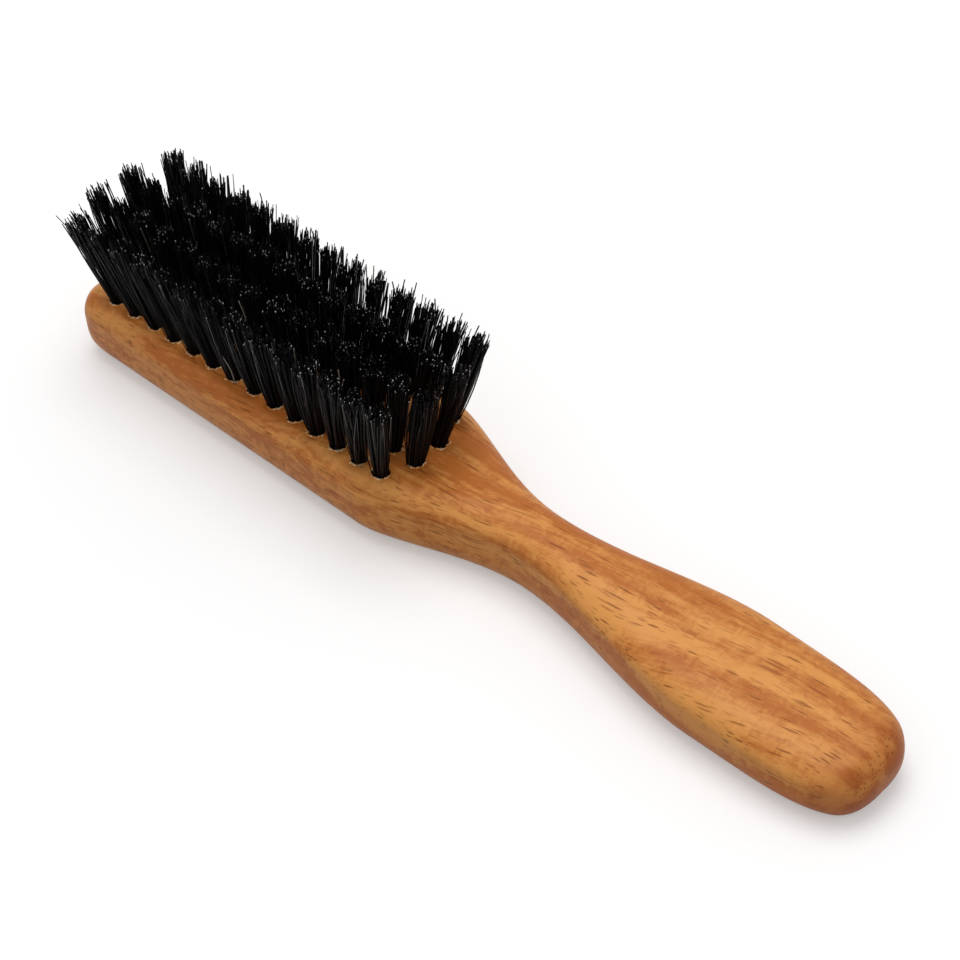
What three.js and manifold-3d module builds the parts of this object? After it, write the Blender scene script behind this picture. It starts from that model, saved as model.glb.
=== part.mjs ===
// A beard brush: a one-piece beech block of head, neck and handle, four staggered rows of boar bristle
// tufts standing in drilled holes, and the flat wire anchor over which each tuft is folded and by which
// it is held in its hole.
//
// Millimetres. +Z points along the bristles, +X runs from the tip of the head to the end of the handle,
// and the origin is the middle of the flat back on which the brush lies.
import * as THREE from "three";
import { mergeGeometries, mergeVertices } from "three/addons/utils/BufferGeometryUtils.js";
import Module from "manifold-3d";

const wasm = await Module();
wasm.setup();

// ---------------------------------------------------------------- driving dimensions

// Tuft pattern. The inner rows hold one tuft more than the two outer rows, half a pitch further out.
const rowCount = 4;
const outerRowTufts = 14;
const tuftPitch = 5.15;
const rowPitch = 5.8;
const lengthwiseFan = THREE.MathUtils.degToRad(14); // lean of the first and last tufts, along the brush
const crosswiseFan = THREE.MathUtils.degToRad(9); // lean of the outer rows, across the brush

// Drilled hole and what sits in it
const holeDiameter = 3.2;
const holeDepth = 7.0;
const seatGap = 0.3; // clearance all round what is seated in the wood
const foldHeight = 1.0; // bristle folded under the anchor
const anchorThickness = 0.36;
const anchorHeight = 1.8;
const anchorLength = 3.8; // longer than the hole is wide, so that its ends bite into the wood

// Bristle. A tuft is folded over its anchor, so that half of its strands stand at each side of the wire.
const strandsPerLeg = 4;
const strandRootRadius = 0.24;
const strandTipRadius = 0.19;
const rootRingRadius = 0.82;
const rootSpread = THREE.MathUtils.degToRad(34); // between neighbouring strands of a leg, at the root
const outerTipRadius = 1.95; // how far alternate strands have opened at the trim
const innerTipRadius = 0.95;
const tipScatter = 0.28;
const trimHeight = 19.2; // tips above the face
const trimScatter = 0.9; // how unevenly the tips end
const strayLength = 1.6; // how far a strand that the trim has missed stands above the others
const strayShare = 0.08;

// Slice of the block under the holes, which joins the strands of all tufts
const bedThickness = 1.6;
const bedMargin = 0.6;
const bedCornerRadius = 3.0;

// Wooden block, seen from above: head, neck, belly of the handle, rounded end
const sideMargin = 4.95; // from the outer rows to the side of the head
const neckWidth = 11.1;
const bellyWidth = 23.2;
const tipMargin = 6.1; // from the tip to the first tufts of the inner rows
const shoulderSetback = 5.0; // the shoulder starts this far before the last tufts of the inner rows
const shoulderLength = 30.8; // from there to the neck
const swellLength = 40.2; // from the neck to the belly
const bellyLength = 7.4;
const endRound = 23.2; // length over which the end of the handle rounds off
const tipRound = 9.8; // length over which the tip of the head rounds off
const endSquareness = 3.1; // exponents of the rounded ends: 2 is an ellipse, more is squarer
const tipSquareness = 3.9;
const shoulderSkew = 0.82; // under 1, the shoulder falls away early and runs long into the neck

// Wooden block, seen from the side: a flat back, and a face that drops towards the end of the handle
const headThickness = 13.4;
const endThickness = 10.2;
const dropCurve = 1.9; // 1 is a straight taper, more starts it later
const endFaceRadius = 4.5; // rounding of the face and the back at both ends

// Edges of the block in section: how far the rounding reaches across and down
const headFaceEdge = { across: 3.2, down: 4.2 };
const headBackEdge = { across: 4.4, down: 5.8 };
const handleFaceEdge = { across: 6.8, down: 3.6 };
const handleBackEdge = { across: 3.2, down: 5.4 };

// How finely the round forms are cut into facets
const endStations = 9;
const shoulderStations = 10;
const swellStations = 10;
const edgeSteps = 5;
const holeSides = 10;
const strandSides = 3;

// ---------------------------------------------------------------- what follows from them

const innerRowSpan = outerRowTufts * tuftPitch;
const fieldHalfWidth = ((rowCount - 1) * rowPitch) / 2;
const headWidth = 2 * (fieldHalfWidth + sideMargin);
const neckAt = tipMargin + innerRowSpan - shoulderSetback + shoulderLength;
const shoulderAt = neckAt - shoulderLength;
const bodyLength = neckAt + swellLength + bellyLength + endRound;
const tipX = -bodyLength / 2;
const fieldX = tipX + tipMargin + innerRowSpan / 2;
const bedTop = headThickness - holeDepth;
const anchorBottom = -holeDepth + foldHeight + seatGap; // below the face, along the hole

// ---------------------------------------------------------------- solids and meshes

// The geometry with three corners of its own for every triangle.
const loose = (geometry) => (geometry.index ? geometry.toNonIndexed() : geometry);

// A closed geometry as a solid, without the faces that collapsed where a form closes on itself.
function toSolid(geometry) {
  const merged = mergeVertices(
    new THREE.BufferGeometry().setAttribute("position", loose(geometry).getAttribute("position")),
    1e-4,
  );
  const corners = merged.index.array;
  const kept = [];
  for (let i = 0; i < corners.length; i += 3) {
    const [a, b, c] = corners.slice(i, i + 3);
    if (a !== b && b !== c && c !== a) kept.push(a, b, c);
  }
  return new wasm.Manifold(
    new wasm.Mesh({
      numProp: 3,
      vertProperties: merged.getAttribute("position").array,
      triVerts: new Uint32Array(kept),
    }),
  );
}

function toGeometry(solid) {
  const { vertProperties, triVerts } = solid.getMesh();
  const geometry = new THREE.BufferGeometry()
    .setAttribute("position", new THREE.BufferAttribute(vertProperties, 3))
    .setIndex(new THREE.BufferAttribute(triVerts, 1))
    .toNonIndexed();
  geometry.computeVertexNormals();
  return geometry;
}

function namedMesh(name, geometry, material) {
  const mesh = new THREE.Mesh(geometry, material);
  mesh.name = name;
  return mesh;
}

// A skin over rings of equally many points. The first and last rings have closed up to a line.
function skinOver(rings) {
  const positions = [];
  for (let i = 0; i + 1 < rings.length; i++) {
    const near = rings[i];
    const far = rings[i + 1];
    for (let j = 0; j < near.length; j++) {
      const k = (j + 1) % near.length;
      for (const corner of [near[j], near[k], far[k], near[j], far[k], far[j]]) {
        positions.push(corner.x, corner.y, corner.z);
      }
    }
  }
  return new THREE.BufferGeometry().setAttribute(
    "position",
    new THREE.Float32BufferAttribute(positions, 3),
  );
}

// The skin's two open ends closed with fans.
function capped(skin, rings) {
  const positions = Array.from(skin.getAttribute("position").array);
  const bottom = [...rings[0]].reverse();
  const top = rings[rings.length - 1];
  for (const ring of [bottom, top]) {
    for (let i = 1; i + 1 < ring.length; i++) {
      for (const corner of [ring[0], ring[i], ring[i + 1]]) {
        positions.push(corner.x, corner.y, corner.z);
      }
    }
  }
  return new THREE.BufferGeometry().setAttribute(
    "position",
    new THREE.Float32BufferAttribute(positions, 3),
  );
}

// ---------------------------------------------------------------- wooden block

const clamped = (t) => THREE.MathUtils.clamp(t, 0, 1);
const eased = (t) => t * t * (3 - 2 * t);

// From 0 at the end itself to 1 where the rounding is over.
function roundedEnd(distance, length, squareness) {
  const left = 1 - clamped(distance / length);
  return Math.pow(1 - Math.pow(left, squareness), 1 / squareness);
}

// Share of the way from the head to the neck, and from the neck to the belly, at s along the block.
const towardsNeck = (s) => eased(Math.pow(clamped((s - shoulderAt) / shoulderLength), shoulderSkew));
const towardsBelly = (s) => eased(clamped((s - neckAt) / swellLength));

function halfWidthAt(s) {
  const straight =
    headWidth +
    (neckWidth - headWidth) * towardsNeck(s) +
    (bellyWidth - neckWidth) * towardsBelly(s);
  return (
    (straight / 2) *
    roundedEnd(s, tipRound, tipSquareness) *
    roundedEnd(bodyLength - s, endRound, endSquareness)
  );
}

function thicknessAt(s) {
  const along = clamped((s - shoulderAt) / (bodyLength - shoulderAt));
  return headThickness - (headThickness - endThickness) * Math.pow(along, dropCurve);
}

function edgeAt(s, headEdge, handleEdge, halfWidth, room) {
  const share = towardsNeck(s);
  return {
    across: Math.min(THREE.MathUtils.lerp(headEdge.across, handleEdge.across, share), halfWidth * 0.92),
    down: Math.min(THREE.MathUtils.lerp(headEdge.down, handleEdge.down, share), room / 2),
  };
}

// One section of the block, round from the middle of the back to the middle of the face and back again.
function sectionAt(s) {
  const halfWidth = halfWidthAt(s);
  const fromEnd = Math.min(s, bodyLength - s);
  const rounding = endFaceRadius * (1 - roundedEnd(fromEnd, endFaceRadius, 2));
  const back = rounding;
  const face = thicknessAt(s) - rounding;
  const backEdge = edgeAt(s, headBackEdge, handleBackEdge, halfWidth, face - back);
  const faceEdge = edgeAt(s, headFaceEdge, handleFaceEdge, halfWidth, face - back);
  const side = [];
  for (let i = 0; i <= edgeSteps; i++) {
    const turn = (i / edgeSteps) * (Math.PI / 2);
    side.push([
      halfWidth - backEdge.across * (1 - Math.sin(turn)),
      back + backEdge.down * (1 - Math.cos(turn)),
    ]);
  }
  for (let i = 0; i <= edgeSteps; i++) {
    const turn = (i / edgeSteps) * (Math.PI / 2);
    side.push([
      halfWidth - faceEdge.across * (1 - Math.cos(turn)),
      face - faceEdge.down * (1 - Math.sin(turn)),
    ]);
  }
  const right = side.map(([y, z]) => new THREE.Vector3(tipX + s, y, z));
  const left = side.map(([y, z]) => new THREE.Vector3(tipX + s, -y, z)).reverse();
  return [...right, ...left];
}

// Stations lie close together at the ends, where the outline turns fastest, and the straight head has none.
function blockStations() {
  const stations = [];
  const quarter = Math.PI / 2;
  for (let i = 0; i <= endStations; i++) {
    stations.push(tipRound * (1 - Math.cos((i / endStations) * quarter)));
  }
  for (let i = 0; i < shoulderStations; i++) {
    stations.push(shoulderAt + (shoulderLength * i) / shoulderStations);
  }
  for (let i = 0; i < swellStations; i++) {
    stations.push(neckAt + (swellLength * i) / swellStations);
  }
  stations.push(neckAt + swellLength);
  for (let i = 0; i <= endStations; i++) {
    stations.push(bodyLength - endRound * (1 - Math.sin((i / endStations) * quarter)));
  }
  return stations;
}

function blockForm() {
  return toSolid(skinOver(blockStations().map(sectionAt)));
}

// ---------------------------------------------------------------- tufts

// Where each tuft stands on the face, and the frame that leans with it.
function layOutTufts() {
  const upright = new THREE.Vector3(0, 0, 1);
  const tufts = [];
  for (let row = 0; row < rowCount; row++) {
    const isOuter = row === 0 || row === rowCount - 1;
    const count = isOuter ? outerRowTufts : outerRowTufts + 1;
    const y = row * rowPitch - fieldHalfWidth;
    for (let i = 0; i < count; i++) {
      const x = (i - (count - 1) / 2) * tuftPitch;
      const lean = new THREE.Vector3(
        Math.tan((lengthwiseFan * x) / (innerRowSpan / 2)),
        Math.tan((crosswiseFan * y) / fieldHalfWidth),
        1,
      ).normalize();
      const seat = new THREE.Group();
      seat.position.set(fieldX + x, y, headThickness);
      seat.quaternion.setFromUnitVectors(upright, lean);
      seat.updateMatrix();
      tufts.push({ label: `row${row + 1}_${String(i + 1).padStart(2, "0")}`, seat, upright: lean.z });
    }
  }
  return tufts;
}

// Length along a tuft's lean from the face to the middle of the bed.
const bedReach = (tuft) => (holeDepth + bedThickness / 2) / tuft.upright;

// An upright cylinder between two heights.
function pillar(radius, bottom, top, sides) {
  return new THREE.CylinderGeometry(radius, radius, top - bottom, sides)
    .rotateX(Math.PI / 2)
    .translate(0, 0, (top + bottom) / 2);
}

// The slot round an anchor, seatGap clear of it on every side.
function anchorSlot() {
  return new THREE.BoxGeometry(
    anchorThickness + 2 * seatGap,
    anchorLength + 2 * seatGap,
    anchorHeight + 2 * seatGap,
  ).translate(0, 0, anchorBottom + anchorHeight / 2);
}

// One form repeated at every tuft, in that tuft's own lean. make(tuft) gives the form.
function atEveryTuft(tufts, make) {
  return toSolid(
    mergeGeometries(
      tufts.map((tuft) => {
        const form = loose(make(tuft));
        form.deleteAttribute("uv");
        form.deleteAttribute("normal");
        return form.applyMatrix4(tuft.seat.matrix);
      }),
    ),
  );
}

// Seeded, so that the bristles come out the same each time.
function seededRandom(seed) {
  let state = seed;
  return () => {
    state = (state + 0x6d2b79f5) | 0;
    let t = Math.imul(state ^ (state >>> 15), 1 | state);
    t = (t + Math.imul(t ^ (t >>> 7), 61 | t)) ^ t;
    return ((t ^ (t >>> 14)) >>> 0) / 4294967296;
  };
}

// A tapered strand from one point to another, with an edge turned towards the given direction.
function strand(from, to, turn) {
  const ends = [
    [from, strandRootRadius],
    [to, strandTipRadius],
  ].map(([middle, radius]) =>
    Array.from({ length: strandSides }, (_, i) => {
      const angle = turn + (i / strandSides) * 2 * Math.PI;
      return new THREE.Vector3(radius * Math.cos(angle), radius * Math.sin(angle), 0).add(middle);
    }),
  );
  return capped(skinOver(ends), ends);
}

// One tuft: two legs of strands that rise from the bed beside the anchor and spread towards the trim.
function strandsOf(tuft, random) {
  const scatter = (amount) => (random() * 2 - 1) * amount;
  const made = [];
  for (const side of [0, Math.PI]) {
    for (let i = 0; i < strandsPerLeg; i++) {
      const place = i - (strandsPerLeg - 1) / 2;
      const rootAngle = side + place * rootSpread;
      const tipAngle = side + (place * Math.PI) / strandsPerLeg;
      const tipRadius = i % 2 === 0 ? outerTipRadius : innerTipRadius;
      const from = new THREE.Vector3(
        rootRingRadius * Math.cos(rootAngle),
        rootRingRadius * Math.sin(rootAngle),
        -bedReach(tuft),
      );
      const to = new THREE.Vector3(
        tipRadius * Math.cos(tipAngle) + scatter(tipScatter),
        tipRadius * Math.sin(tipAngle) + scatter(tipScatter),
        trimHeight / tuft.upright + scatter(trimScatter) + (random() < strayShare ? strayLength : 0),
      );
      made.push(strand(from, to, side));
    }
  }
  return mergeGeometries(made);
}

// ---------------------------------------------------------------- bed

// A flat slab with round corners, centred under the tufts.
function slab(grown, bottom, top) {
  const halfLength =
    innerRowSpan / 2 - holeDepth * Math.tan(lengthwiseFan) + rootRingRadius + bedMargin + grown;
  const halfWidth =
    fieldHalfWidth - holeDepth * Math.tan(crosswiseFan) + rootRingRadius + bedMargin + grown;
  const radius = bedCornerRadius + grown;
  const outline = new THREE.Shape()
    .absarc(halfLength - radius, halfWidth - radius, radius, 0, Math.PI / 2)
    .absarc(radius - halfLength, halfWidth - radius, radius, Math.PI / 2, Math.PI)
    .absarc(radius - halfLength, radius - halfWidth, radius, Math.PI, Math.PI * 1.5)
    .absarc(halfLength - radius, radius - halfWidth, radius, Math.PI * 1.5, Math.PI * 2);
  return toSolid(
    new THREE.ExtrudeGeometry(outline, {
      depth: top - bottom,
      bevelEnabled: false,
      curveSegments: 4,
    }).translate(fieldX, 0, bottom),
  );
}

// ---------------------------------------------------------------- pieces

// The block, drilled from the face, with a notch at each side of a hole where the anchor bites.
function brushBlock(tufts) {
  const holes = atEveryTuft(tufts, (tuft) =>
    pillar(holeDiameter / 2, -bedReach(tuft), holeDiameter, holeSides),
  );
  const notches = atEveryTuft(tufts, anchorSlot);
  const bedPocket = slab(seatGap, bedTop - bedThickness - seatGap, bedTop + seatGap);
  return toGeometry(blockForm().subtract(holes).subtract(notches).subtract(bedPocket));
}

// All tufts, fused to the bed under the holes.
function bristleField(tufts) {
  const random = seededRandom(58);
  const strands = atEveryTuft(tufts, (tuft) => strandsOf(tuft, random));
  return toGeometry(slab(0, bedTop - bedThickness, bedTop).add(strands));
}

const beech = new THREE.MeshStandardMaterial({ color: 0xc07a3c, roughness: 0.5, metalness: 0 });
const boarBristle = new THREE.MeshStandardMaterial({ color: 0x0d0d0e, roughness: 0.4, metalness: 0 });
const anchorWire = new THREE.MeshStandardMaterial({ color: 0xa8a294, roughness: 0.35, metalness: 1 });

const tufts = layOutTufts();
const brush = new THREE.Group();
brush.add(namedMesh("brush_block", brushBlock(tufts), beech));
brush.add(namedMesh("bristle_field", bristleField(tufts), boarBristle));
for (const { label, seat } of tufts) {
  const wire = new THREE.BoxGeometry(anchorThickness, anchorLength, anchorHeight);
  const anchor = namedMesh(`anchor_${label}`, wire, anchorWire);
  anchor.position.z = anchorBottom + anchorHeight / 2;
  seat.add(anchor);
  brush.add(seat);
}

export default brush;
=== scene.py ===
"""A beard brush: a beech block with drilled rows of boar bristle tufts, on a pale studio floor."""

import math

import bmesh
import bpy
from mathutils import Matrix, Vector


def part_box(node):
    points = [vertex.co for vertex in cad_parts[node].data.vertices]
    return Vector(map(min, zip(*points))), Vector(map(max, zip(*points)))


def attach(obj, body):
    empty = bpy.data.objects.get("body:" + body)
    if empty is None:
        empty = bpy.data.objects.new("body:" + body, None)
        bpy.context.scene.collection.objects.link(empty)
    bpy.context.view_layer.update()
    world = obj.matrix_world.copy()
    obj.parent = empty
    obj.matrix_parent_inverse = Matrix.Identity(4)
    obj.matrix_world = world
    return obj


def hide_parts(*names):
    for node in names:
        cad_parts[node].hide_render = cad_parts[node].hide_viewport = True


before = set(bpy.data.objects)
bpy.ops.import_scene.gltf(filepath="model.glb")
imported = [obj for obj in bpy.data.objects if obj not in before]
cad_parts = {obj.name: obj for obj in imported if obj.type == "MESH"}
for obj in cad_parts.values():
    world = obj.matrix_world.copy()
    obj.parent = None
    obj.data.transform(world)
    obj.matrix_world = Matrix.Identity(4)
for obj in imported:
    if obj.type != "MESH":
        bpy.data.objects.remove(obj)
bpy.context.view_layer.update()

bl_info = {
    "name": "Beard brush",
    "version": (1, 0, 0),
    "blender": (4, 5, 0),
    "location": "3D View > Sidebar > Beard Brush",
    "description": "Builds a wooden beard brush with staple-set bristle tufts",
    "category": "Add Mesh",
}

MM = 0.001
BLOCK_LOW, BLOCK_HIGH = (Vector(corner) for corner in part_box("brush_block"))
BLOCK_SIZE = BLOCK_HIGH - BLOCK_LOW


# ---------------------------------------------------------------- sizes and colours


def length(name, description, default):
    return bpy.props.FloatProperty(
        name=name,
        description=description,
        default=default,
        min=0.0,
        soft_max=0.3,
        precision=5,
        subtype="DISTANCE",
        unit="LENGTH",
    )


def angle(name, description, degrees):
    return bpy.props.FloatProperty(
        name=name, description=description, default=math.radians(degrees), subtype="ANGLE", unit="ROTATION"
    )


def count(name, description, default):
    return bpy.props.IntProperty(name=name, description=description, default=default, min=1)


def color(name, description, default):
    return bpy.props.FloatVectorProperty(
        name=name, description=description, default=default, size=3, min=0.0, max=1.0, subtype="COLOR"
    )


class BlockSettings(bpy.types.PropertyGroup):
    """The wooden block: head, neck and handle in one piece."""

    block_length: length("Length", "Tip of the head to the end of the handle", BLOCK_SIZE.x)
    head_width: length("Head width", "Width of the head", BLOCK_SIZE.y)
    neck_width: length("Neck width", "Width of the neck at its narrowest", 11.1 * MM)
    belly_width: length("Belly width", "Width of the handle at its widest", 23.2 * MM)
    head_thickness: length("Head thickness", "Thickness of the head", BLOCK_SIZE.z)
    end_thickness: length("End thickness", "Thickness at the end of the handle", 10.2 * MM)
    shoulder_length: length("Shoulder", "Length from the straight head to the neck", 30.8 * MM)
    swell_length: length("Swell", "Length from the neck to the belly", 40.2 * MM)
    belly_length: length("Belly", "Length of the straight belly", 7.4 * MM)
    end_round: length("End rounding", "Length over which the end of the handle rounds off", 23.2 * MM)
    tip_round: length("Tip rounding", "Length over which the tip of the head rounds off", 9.8 * MM)
    end_face_radius: length("End face radius", "Rounding of face and back at both ends", 4.5 * MM)


class TuftSettings(bpy.types.PropertyGroup):
    """The pattern of the drilled holes and the bristle in them."""

    row_count: count("Rows", "Rows of tufts across the head", 4)
    outer_row_tufts: count("Outer row tufts", "Tufts in each of the two outer rows", 14)
    tuft_pitch: length("Tuft pitch", "Spacing along a row", 5.15 * MM)
    row_pitch: length("Row pitch", "Spacing between rows", 5.8 * MM)
    tip_margin: length("Tip margin", "Tip of the head to the first tufts of the inner rows", 6.1 * MM)
    lengthwise_fan: angle("Lengthwise fan", "Lean of the first and last tufts along the brush", 14.0)
    crosswise_fan: angle("Crosswise fan", "Lean of the outer rows across the brush", 9.0)
    hole_radius: length("Hole radius", "Radius of a drilled hole", 1.55 * MM)
    hole_depth: length("Hole depth", "Depth of a drilled hole", 7.0 * MM)
    trim_height: length("Trim height", "Height of the tips over the face", 18.3 * MM)
    trim_scatter: length("Trim scatter", "How unevenly the tips end", 0.62 * MM)
    root_radius: length("Tuft radius at the face", "How tight a tuft is where it leaves its hole", 1.3 * MM)
    tip_radius: length("Tuft radius at the tips", "How far a tuft has opened at the trim", 2.22 * MM)
    strands_per_tuft: count("Strands per tuft", "Bristles in one tuft", 102)
    strand_radius: length("Strand radius", "Radius of one bristle", 0.12 * MM)


class FinishSettings(bpy.types.PropertyGroup):
    """Colours of wood, bristle and wire."""

    beech_light: color("Beech, light", "Palest grain of the wood", (0.77, 0.33, 0.083))
    beech_dark: color("Beech, dark", "Darkest grain of the wood", (0.51, 0.150, 0.024))
    # Painted shade: a darker, warmer colour for the wood low on the sides and towards the tip of the head.
    beech_heart_and_shade: color("Beech, heart", "Warmer wood low on the sides and at the tip", (0.58, 0.150, 0.016))
    end_grain: color("End grain", "Wood cut across at the end of the handle", (0.38, 0.088, 0.012))
    fleck: color("Ray fleck", "Short dashes along the grain", (0.26, 0.070, 0.010))
    torn_fibre: color("Torn fibre", "Bare wood at the rims of the holes", (0.93, 0.68, 0.42))
    bristle: color("Bristle", "Body of a bristle", (0.0035, 0.0035, 0.004))
    # Painted highlight: the light grey of cut tips that catch the light.
    bristle_tip_glint: color("Bristle tip", "Cut end of a bristle", (0.46, 0.47, 0.48))
    pale_bristle: color("Pale bristle", "The few bristles without colour", (0.44, 0.37, 0.28))
    wire: color("Wire", "Anchor wire in the holes", (0.55, 0.53, 0.50))


class StudioSettings(bpy.types.PropertyGroup):
    """Camera, lights and floor."""

    azimuth: angle("Azimuth", "Camera's direction round the brush", 45.12)
    elevation: angle("Elevation", "Camera's height over the floor", 46.216)
    roll: angle("Roll", "Camera's turn about its own axis", -3.195)
    distance: length("Distance", "Camera to the middle of the brush", 421.73 * MM)
    lens: bpy.props.FloatProperty(name="Lens", description="Focal length in millimetres", default=92.85)
    key_power: bpy.props.FloatProperty(
        name="Key light", description="Power of the key light", default=2.1, unit="POWER"
    )
    sky: bpy.props.FloatProperty(name="Sky", description="Brightness of the surroundings", default=0.6)


# ---------------------------------------------------------------- node graphs


class Signal:
    """A socket's value in a node tree. Arithmetic on it adds Math nodes."""

    def __init__(self, graph, socket):
        self.graph = graph
        self.socket = socket

    def __add__(self, other):
        return self.graph.math("ADD", self, other)

    __radd__ = __add__

    def __sub__(self, other):
        return self.graph.math("SUBTRACT", self, other)

    def __rsub__(self, other):
        return self.graph.math("SUBTRACT", other, self)

    def __mul__(self, other):
        return self.graph.math("MULTIPLY", self, other)

    __rmul__ = __mul__

    def __truediv__(self, other):
        return self.graph.math("DIVIDE", self, other)

    def __rtruediv__(self, other):
        return self.graph.math("DIVIDE", other, self)

    def __pow__(self, other):
        return self.graph.math("POWER", self, other)

    def __gt__(self, other):
        return self.graph.math("GREATER_THAN", self, other)


class Graph:
    """A node tree that is being built."""

    def __init__(self, tree):
        self.tree = tree

    def node(self, kind, settings=None, values=None, output=0):
        """Adds a node: settings first, then values or links. Gives the wanted output as a Signal."""
        made = self.tree.nodes.new(kind)
        for name, value in (settings or {}).items():
            setattr(made, name, value)
        for key, value in (values or {}).items():
            self.feed(self.find(made.inputs, key), value)
        return Signal(self, self.find(made.outputs, output)) if len(made.outputs) else None

    def feed(self, socket, value):
        if isinstance(value, Signal):
            self.tree.links.new(value.socket, socket)
        else:
            socket.default_value = value

    @staticmethod
    def find(sockets, key):
        """By place when the key is a number, otherwise by identifier or else by name."""
        if isinstance(key, int):
            return sockets[key]
        for socket in sockets:
            if socket.identifier == key:
                return socket
        return sockets[key]

    def other(self, signal, output):
        """Another output of the node that gave this signal."""
        return Signal(self, self.find(signal.socket.node.outputs, output))

    def math(self, operation, *values):
        return self.node("ShaderNodeMath", {"operation": operation}, dict(enumerate(values)))

    def vector(self, operation, *values):
        return self.node("ShaderNodeVectorMath", {"operation": operation}, dict(enumerate(values)))

    def mix(self, share, first, second):
        """Blends two colours."""
        return self.node(
            "ShaderNodeMix",
            {"data_type": "RGBA"},
            {"Factor_Float": share, "A_Color": first, "B_Color": second},
            "Result_Color",
        )

    def ramp(self, value, low, high):
        """From 0 at low to 1 at high, eased."""
        return self.node(
            "ShaderNodeMapRange",
            {"interpolation_type": "SMOOTHSTEP"},
            {"Value": value, "From Min": low, "From Max": high},
        )

    def stretched(self, place, x, y, z):
        """A place, counted in features per metre along each axis."""
        return self.vector("MULTIPLY", place, (x, y, z))

    def noise(self, place, detail=2.0, roughness=0.5, distortion=0.0):
        return self.node(
            "ShaderNodeTexNoise",
            None,
            {
                "Vector": place,
                "Scale": 1.0,
                "Detail": detail,
                "Roughness": roughness,
                "Distortion": distortion,
            },
        )

    def combine(self, x, y, z):
        return self.node("ShaderNodeCombineXYZ", None, {0: x, 1: y, 2: z})

    def polar(self, radius, turn, height):
        """The place at this radius and turn round the upright axis."""
        return self.combine(radius * self.math("COSINE", turn), radius * self.math("SINE", turn), height)

    def carried(self, name, kind):
        """An attribute that the geometry carries."""
        return self.node("GeometryNodeInputNamedAttribute", {"data_type": kind}, {"Name": name})

    def chance(self, low, high, seed, **places):
        """An even random number for each element."""
        return self.node(
            "FunctionNodeRandomValue",
            {"data_type": "FLOAT"},
            {"Min_001": low, "Max_001": high, "Seed": seed, **places},
            "Value_001",
        )

    def multiplied(self, points, amount):
        """Each point this many times over. The output Duplicate Index tells them apart."""
        return self.node(
            "GeometryNodeDuplicateElements",
            {"domain": "POINT"},
            {"Geometry": points, "Amount": amount},
            "Geometry",
        )


def start_tree(name, lengths, counts, objects=()):
    """A Geometry Nodes tree with these inputs: the tree, its graph and a Signal for each input."""
    tree = bpy.data.node_groups.new(name, "GeometryNodeTree")
    tree.is_modifier = True
    face = tree.interface
    face.new_socket("Geometry", in_out="INPUT", socket_type="NodeSocketGeometry")
    for label, default in lengths.items():
        socket = face.new_socket(label, in_out="INPUT", socket_type="NodeSocketFloat")
        socket.subtype = "DISTANCE"
        socket.default_value = default
    for label, default in counts.items():
        socket = face.new_socket(label, in_out="INPUT", socket_type="NodeSocketInt")
        socket.default_value = default
    for label in objects:
        face.new_socket(label, in_out="INPUT", socket_type="NodeSocketObject")
    face.new_socket("Material", in_out="INPUT", socket_type="NodeSocketMaterial")
    face.new_socket("Geometry", in_out="OUTPUT", socket_type="NodeSocketGeometry")
    graph = Graph(tree)
    geometry = graph.node("NodeGroupInput", output="Geometry")
    return tree, graph, {label: graph.other(geometry, label) for label in input_identifiers(tree)}


def input_identifiers(tree):
    """The identifier of each of a tree's inputs, by name."""
    return {
        item.name: item.identifier
        for item in tree.interface.items_tree
        if item.item_type == "SOCKET" and item.in_out == "INPUT"
    }


def finish_tree(graph, geometry, material):
    """Ends the tree with real geometry that wears the material."""
    real = graph.node("GeometryNodeRealizeInstances", None, {"Geometry": geometry})
    dressed = graph.node("GeometryNodeSetMaterial", None, {"Geometry": real, "Material": material})
    graph.node("NodeGroupOutput", None, {"Geometry": dressed})


def lean_turn(graph):
    """The turn that tips the upright axis over to a seat's lean."""
    lean = graph.carried("lean", "FLOAT_VECTOR")
    return graph.node("FunctionNodeAlignRotationToVector", {"axis": "Z"}, {"Vector": lean})


# ---------------------------------------------------------------- pattern of the tufts


def lay_out_tufts(sizes):
    """One list for each row, of (seat on the face, direction of the lean)."""
    span = sizes.outer_row_tufts * sizes.tuft_pitch
    half_width = (sizes.row_count - 1) * sizes.row_pitch / 2
    middle = BLOCK_LOW.x + sizes.tip_margin + span / 2
    rows = []
    for row in range(sizes.row_count):
        is_outer = row in (0, sizes.row_count - 1)
        tufts = sizes.outer_row_tufts + (0 if is_outer else 1)
        across = row * sizes.row_pitch - half_width
        seats = []
        for place in range(tufts):
            along = (place - (tufts - 1) / 2) * sizes.tuft_pitch
            lean = Vector(
                (
                    math.tan(sizes.lengthwise_fan * along / (span / 2)),
                    math.tan(sizes.crosswise_fan * across / half_width),
                    1.0,
                )
            ).normalized()
            seats.append((Vector((middle + along, across, BLOCK_HIGH.z)), lean))
        rows.append(seats)
    return rows


def all_seats(sizes):
    return [seat for row in lay_out_tufts(sizes) for seat in row]


def seat_points(name, seats):
    """A mesh of loose points, one on each seat, that carry the lean."""
    mesh = bpy.data.meshes.new(name)
    mesh.from_pydata([seat for seat, _ in seats], [], [])
    leans = mesh.attributes.new("lean", "FLOAT_VECTOR", "POINT")
    for place, (_, lean) in enumerate(seats):
        leans.data[place].vector = lean
    return mesh


# ---------------------------------------------------------------- wooden block


def eased(t):
    t = min(max(t, 0.0), 1.0)
    return t * t * (3 - 2 * t)


def rounded_end(distance, reach, squareness):
    """From 0 at the end itself to 1 where the rounding is over."""
    left = 1 - min(max(distance / reach, 0.0), 1.0)
    return (1 - left**squareness) ** (1 / squareness)


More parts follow.
